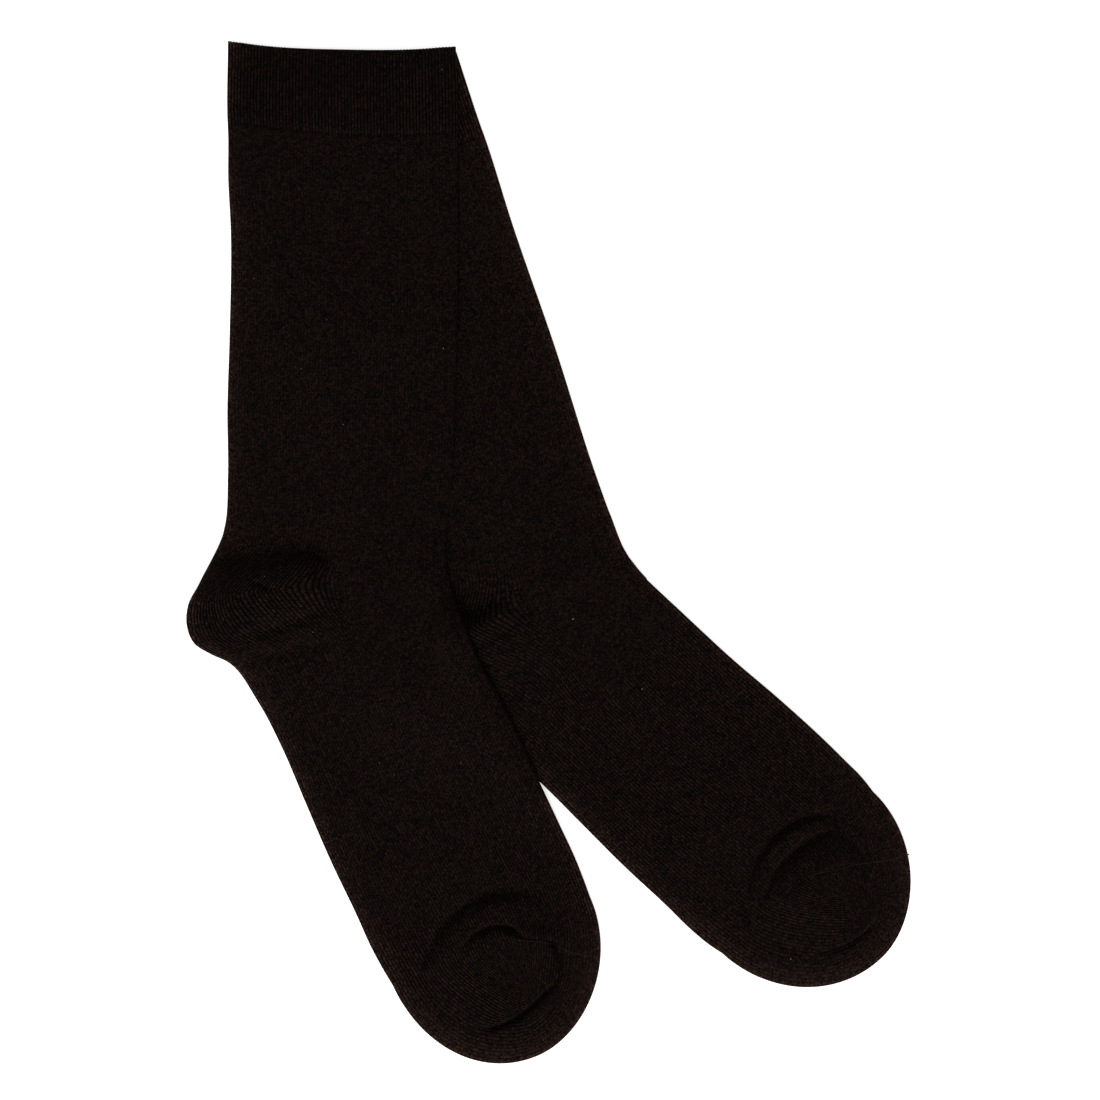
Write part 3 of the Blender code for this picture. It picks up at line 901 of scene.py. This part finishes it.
def height_on(points, places, soften=0.05):
    """Height of a cloth face at places of the plane, and how far off its nearest vertex is."""
    flat = points.reshape(-1, 3)
    heights, gaps = [], []
    for place in places:
        apart = np.hypot(flat[:, 0] - place[0], flat[:, 1] - place[1])
        near = np.argsort(apart)[:4]
        weight = 1 / (apart[near] + soften)
        heights.append((flat[near, 2] * weight).sum() / weight.sum())
        gaps.append(apart[near[0]])
    return np.array(heights), np.array(gaps)


def tiny_shape(name, centre, angle, half_sizes):
    """A small rounded shape of 80 faces, lying along the angle."""
    obj = made(name, bpy.ops.mesh.primitive_ico_sphere_add, subdivisions=2, radius=1)
    points = coordinates(obj.data) * half_sizes
    points[:, :2] = turned(points[:, :2], math.degrees(angle))
    set_coordinates(obj.data, (points + centre) * MM)
    return obj


def linking_stitches(form, toe_points, material):
    """The thread that links the toe shut: a row of short stitches over the instep's edge."""
    sock = form.sock
    seam = turned(foot_points(sock, *np.array(sock.seam).T), sock.turn) + sock.place
    line = curve_through(seam, SEAM_POINTS)
    middle = toe_points.shape[1] // 2
    heights, gaps = height_on(toe_points[:, :middle + 1], line)
    inside = gaps < ON_TOE
    line, heights = line[inside], heights[inside]
    length = np.concatenate([[0], np.cumsum(np.hypot(*np.diff(line, axis=0).T))])
    count = int(length[-1] / STITCH_PITCH)
    at = (np.arange(count) + 0.5) * STITCH_PITCH
    x, y, top = (np.interp(at, length, values) for values in (line[:, 0], line[:, 1], heights))
    low = height_on(toe_points[:, middle:], np.stack([x, y], axis=1))[0]
    angle = np.arctan2(np.gradient(y), np.gradient(x))
    stitches = []
    for i in range(count):
        lean = angle[i] + STITCH_SLANT
        for side, z in (("over", top[i] - STITCH_SINK), ("under", low[i] + STITCH_UNDER)):
            name = f"{sock.name}_stitch_{side}_{i}"
            stitches.append(tiny_shape(name, (x[i], y[i], z), lean, STITCH_SIZE))
    rim = (line[-1, 0], line[-1, 1], (top[-1] + low[-1]) / 2)
    stitches.append(tiny_shape(f"{sock.name}_stitch_rim", rim, angle[-1], STITCH_SIZE))
    return finish_piece(joined(f"{sock.name}_linking_stitches", stitches), material)


def lint(name, cloth, specks, material):
    """Specks of lint on one piece of cloth: place, angle and length of each."""
    flat = coordinates(cloth.data) / MM
    parts = []
    for i, (x, y, angle, length) in enumerate(specks):
        around = flat[np.hypot(flat[:, 0] - x, flat[:, 1] - y) < LINT_NEAR]
        upper = around[around[:, 2] > around[:, 2].max() - OUTER_SHARE * WALL]
        z = height_on(upper, [(x, y)])[0][0] + LINT_LIFT
        size = (length / 2, length * LINT_WIDTH, LINT_HALF_HEIGHT)
        parts.append(tiny_shape(f"{name}_{i}", (x, y, z), math.radians(angle), size))
    return finish_piece(joined(name, parts), material)


# ---- materials

def linear(hex_colour):
    """An sRGB hex colour as linear RGBA."""
    channels = [int(hex_colour[i:i + 2], 16) / 255 for i in (1, 3, 5)]
    return tuple(c / 12.92 if c <= 0.04045 else ((c + 0.055) / 1.055) ** 2.4 for c in channels) + (1.0,)


def node(tree, kind, inputs=None, **settings):
    """Adds a node with its settings, and sets its inputs or links them to the nodes given."""
    added = tree.nodes.new(kind)
    for key, value in settings.items():
        setattr(added, key, value)
    for key, value in (inputs or {}).items():
        if isinstance(value, bpy.types.Node):
            value = value.outputs[0]
        if isinstance(value, bpy.types.NodeSocket):
            tree.links.new(value, added.inputs[key])
        else:
            added.inputs[key].default_value = value
    return added


def new_material(name, roughness, specular, colour="#ffffff"):
    material = bpy.data.materials.new(name)
    material.use_nodes = True
    shader = material.node_tree.nodes["Principled BSDF"]
    shader.inputs["Base Color"].default_value = linear(colour)
    shader.inputs["Roughness"].default_value = roughness
    shader.inputs["Specular IOR Level"].default_value = specular
    return material, shader


def scattered(tree, wale, course, to_wale, to_course):
    """A random value for each cell, with so many cells to one wale and to one course."""
    across = node(tree, "ShaderNodeMath", {0: wale, 1: to_wale}, operation="MULTIPLY")
    along = node(tree, "ShaderNodeMath", {0: course, 1: to_course}, operation="MULTIPLY")
    column = node(tree, "ShaderNodeMath", {0: across}, operation="FLOOR")
    row = node(tree, "ShaderNodeMath", {0: along}, operation="FLOOR")
    cell = node(tree, "ShaderNodeCombineXYZ", {0: column, 1: row})
    return node(tree, "ShaderNodeTexWhiteNoise", {"Vector": cell}, noise_dimensions="2D")


def cotton_knit(name, stitch_depth, shade=1.0):
    """Combed cotton jersey in near-black, single knit on a fine machine.

    Dyed cotton has no gloss, only a faint bloom of fibre ends. Each stitch is a V of two legs, and
    the wales stand up as fine ribs. Painted shade darkens the grooves between wales and the gaps between
    the stitch legs, and painted rim light makes the folded edges a little paler.
    """
    material, shader = new_material(name, roughness=0.9, specular=0.03)
    tree = material.node_tree
    shader.inputs["IOR"].default_value = 1.45
    shader.inputs["Sheen Weight"].default_value = 0.03
    shader.inputs["Sheen Roughness"].default_value = 0.4
    shader.inputs["Sheen Tint"].default_value = linear("#a08478")

    uv = node(tree, "ShaderNodeUVMap", uv_map="knit")
    wale, course, _ = node(tree, "ShaderNodeSeparateXYZ", {0: uv}).outputs
    on_wale = node(tree, "ShaderNodeMath", {0: wale}, operation="FRACT")
    off_middle = node(tree, "ShaderNodeMath", {0: on_wale, 1: 0.5}, operation="SUBTRACT")
    off_crown = node(tree, "ShaderNodeMath", {0: off_middle}, operation="ABSOLUTE")
    half_turn = node(tree, "ShaderNodeMath", {0: off_crown, 1: math.pi}, operation="MULTIPLY")
    arch = node(tree, "ShaderNodeMath", {0: half_turn}, operation="COSINE")
    crown = node(tree, "ShaderNodeMath", {0: arch, 1: CROWN_POWER}, operation="POWER")
    # each leg of the V climbs outwards, so the stitches repeat along lines that lean with it
    climb = node(tree, "ShaderNodeMath", {0: off_crown, 1: STITCH_LEAN}, operation="MULTIPLY")
    lean = node(tree, "ShaderNodeMath", {0: course, 1: climb}, operation="SUBTRACT")
    stitch_turn = node(tree, "ShaderNodeMath", {0: lean, 1: math.pi}, operation="MULTIPLY")
    stitch_wave = node(tree, "ShaderNodeMath", {0: stitch_turn}, operation="SINE")
    stitch = node(tree, "ShaderNodeMath", {0: stitch_wave}, operation="ABSOLUTE")
    leg_turn = node(tree, "ShaderNodeMath", {0: off_crown, 1: 2 * math.pi}, operation="MULTIPLY")
    leg_wave = node(tree, "ShaderNodeMath", {0: leg_turn}, operation="SINE")
    leg = node(tree, "ShaderNodeMath", {0: leg_wave, 1: 0.5, 2: 0.5}, operation="MULTIPLY_ADD")
    yarn = node(tree, "ShaderNodeMath", {0: stitch, 1: leg}, operation="MULTIPLY")
    uneven = scattered(tree, wale, lean, 1, 1)
    fibre = scattered(tree, wale, lean, *FIBRE_CELLS)
    place = node(tree, "ShaderNodeTexCoord").outputs["Object"]
    lumps = node(tree, "ShaderNodeTexNoise", {"Vector": place, "Scale": SLUBS / MM, "Detail": 1.0})
    ribbing = node(tree, "ShaderNodeAttribute", attribute_name="ribbing").outputs["Fac"]
    # painted rim light: a paler tone at the folded edges that stands in for light catching them
    rubbed = node(tree, "ShaderNodeAttribute", attribute_name="rubbed").outputs["Fac"]

    rib_relief = node(tree, "ShaderNodeMath", {0: ribbing, 1: CROWN_RELIEF}, operation="MULTIPLY")
    surface = node(tree, "ShaderNodeMath", {0: crown, 1: rib_relief}, operation="MULTIPLY")
    for value, gain in ((yarn, YARN_RELIEF), (lumps, LUMP_RELIEF)):
        surface = node(tree, "ShaderNodeMath", {0: value, 1: gain, 2: surface}, operation="MULTIPLY_ADD")
    relief = {"Height": surface, "Strength": 1.0, "Distance": stitch_depth * MM}
    tree.links.new(node(tree, "ShaderNodeBump", relief).outputs[0], shader.inputs["Normal"])

    # painted shade in the grooves between wales: dark where the wales are pulled open, and hardly there
    # where they lie slack
    groove = node(tree, "ShaderNodeMath", {0: 1.0, 1: crown}, operation="SUBTRACT")
    open_groove = node(tree, "ShaderNodeMath", {0: groove, 1: ribbing}, operation="MULTIPLY")
    shaded = node(tree, "ShaderNodeMath", {0: open_groove, 1: GROOVE_PAINTED_SHADE}, operation="MULTIPLY")
    tone = node(tree, "ShaderNodeMath", {0: 1.0, 1: shaded}, operation="SUBTRACT")
    # each of these scales the tone, from the least that it leaves of it: yarn paints shade between the
    # legs of the stitches, ribbing lifts the tone where the ribs and their painted groove shade are deep,
    # uneven, fibre and lumps vary it at random, and rubbed paints light on the folded edges
    for value, least, gain in ((yarn, 0.45, 0.4), (ribbing, 0.50, 0.6), (uneven, 0.58, 0.85),
                               (fibre, 0.0, 2.0), (lumps, 0.75, 0.5), (rubbed, shade, 3.8)):
        part = node(tree, "ShaderNodeMath", {0: value, 1: gain, 2: least}, operation="MULTIPLY_ADD")
        tone = node(tree, "ShaderNodeMath", {0: tone, 1: part}, operation="MULTIPLY")
    colour = node(tree, "ShaderNodeMix", {0: tone, 6: linear("#010101"), 7: linear("#180f0c")},
                  data_type="RGBA", clamp_factor=False)
    tree.links.new(colour.outputs[2], shader.inputs["Base Color"])
    return material


def linking_thread():
    """The linking seam's cotton thread: the same dye, matt, painted a little paler as a highlight where
    it stands proud.
    """
    return new_material("linking_thread_cotton", 0.9, 0.05, "#1f1715")[0]


def lint_fibre():
    """A stray tuft of pale cotton fibre, grey on the dark cloth, quite matt."""
    return new_material("lint_cotton_fibre", 1.0, 0.0, "#766d69")[0]


def pale_paper():
    """Matt white paper, lit through from below."""
    material, shader = new_material("pale_paper", 1.0, 0.0, "#f6f6f6")
    shader.inputs["Emission Color"].default_value = linear("#ffffff")
    shader.inputs["Emission Strength"].default_value = FLOOR_GLOW
    return material


# ---- the pieces

def build_sock(sock, lift, jersey, welt):
    """The form of one sock, its five stretches and the points of its toe."""
    form = Form(sock, lift)
    start = form.start
    stretches = (
        ("cuff", 0, start["leg_top"], WELT_WALL, welt, True),
        ("leg", start["leg_top"], start["ankle"], WALL, jersey, False),
        ("heel", start["ankle"], start["foot_30"], WALL, jersey, False),
        ("foot", start["foot_30"], start["toe"], WALL, jersey, False),
    )
    pieces = {}
    for part, first, last, wall, material, mouth in stretches:
        pieces[part] = tube_piece(f"{sock.name}_{part}", form, first, last, wall, material, mouth)
    pieces["toe"], toe_points = toe_piece(f"{sock.name}_toe", form, jersey)
    return form, pieces, toe_points


def build_floor():
    floor = made("floor", bpy.ops.mesh.primitive_plane_add, size=FLOOR_SIZE,
                 location=(0, 0, -FLOOR_DROP * MM))
    floor.data.materials.append(pale_paper())


def placed(data, location):
    obj = bpy.data.objects.new(data.name, data)
    bpy.context.scene.collection.objects.link(obj)
    obj.location = location
    return obj


def build_camera():
    """Straight down over the middle of the pair."""
    camera = bpy.data.cameras.new("camera")
    camera.lens = 85
    camera.sensor_width = 36
    height = FRAME_WIDTH * camera.lens / camera.sensor_width
    bpy.context.scene.camera = placed(camera, Vector((*FRAME_MIDDLE, height)) * MM)


def build_light():
    """A round soft box that faces the pair, under a pale sky."""
    light = bpy.data.lights.new("key_light", "AREA")
    light.shape = "DISK"
    light.size = KEY_SIZE
    light.energy = KEY_POWER
    towards_pair = -Vector(KEY_PLACE)
    placed(light, KEY_PLACE).rotation_euler = towards_pair.to_track_quat("-Z", "Y").to_euler()
    world = bpy.data.worlds.new("studio")
    bpy.context.scene.world = world
    world.use_nodes = True
    background = world.node_tree.nodes["Background"]
    background.inputs[0].default_value = linear("#ffffff")
    background.inputs[1].default_value = SKY_LIGHT
    bpy.context.scene.view_settings.view_transform = "Standard"


# Lint on each stretch: where a speck lies in the world, its angle and its length
REAR_LINT = (
    ("heel", ((9.8, -26.7, 20, 0.85),)),
    ("foot", ((37.3, -54.6, 70, 0.66),)),
    ("toe", ((96.6, -162.2, 80, 0.72),)),
)
FRONT_LINT = (
    ("cuff", ((-42.4, 191.8, 100, 0.47),)),
    ("leg", ((-41.8, 81.0, 100, 0.65), (-117.3, 109.0, 35, 0.48), (-81.7, 50.7, 60, 0.47),
             (-98.5, 73.1, 100, 0.44), (-88.2, 92.4, 80, 0.42))),
    ("heel", ((-112.8, -9.6, 10, 0.45), (-139.0, -20.4, 120, 0.47), (-93.6, -31.9, 40, 0.42),
              (-98.2, -21.5, 90, 0.45))),
    ("foot", ((-34.8, -84.0, 60, 0.45), (-67.4, -84.0, 0, 0.42), (-61.6, -88.8, 70, 0.40))),
)

jersey = cotton_knit("black_cotton_jersey", JERSEY_RELIEF)
welt = cotton_knit("black_cotton_welt", WELT_RELIEF, WELT_SHADE)
thread = linking_thread()
fluff = lint_fibre()

rear_form, rear_pieces, rear_toe = build_sock(REAR, None, jersey, welt)
front_form, front_pieces, front_toe = build_sock(FRONT, lift_over(rear_form, FRONT), jersey, welt)

for form, pieces, toe_points, specks, under in (
    (rear_form, rear_pieces, rear_toe, REAR_LINT, []),
    (front_form, front_pieces, front_toe, FRONT_LINT, list(rear_pieces.values())),
):
    name = form.sock.name
    extras = {"toe": [linking_stitches(form, toe_points, thread)]}
    for part, places in specks:
        speck = lint(f"{name}_{part}_lint", pieces[part], places, fluff)
        extras.setdefault(part, []).append(speck)
    for part, piece in pieces.items():
        small = extras.get(part, [])
        for shown in [piece, *small]:
            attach(shown, "root")
            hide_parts(f"{name}_sock")

build_floor()
build_camera()
build_light()
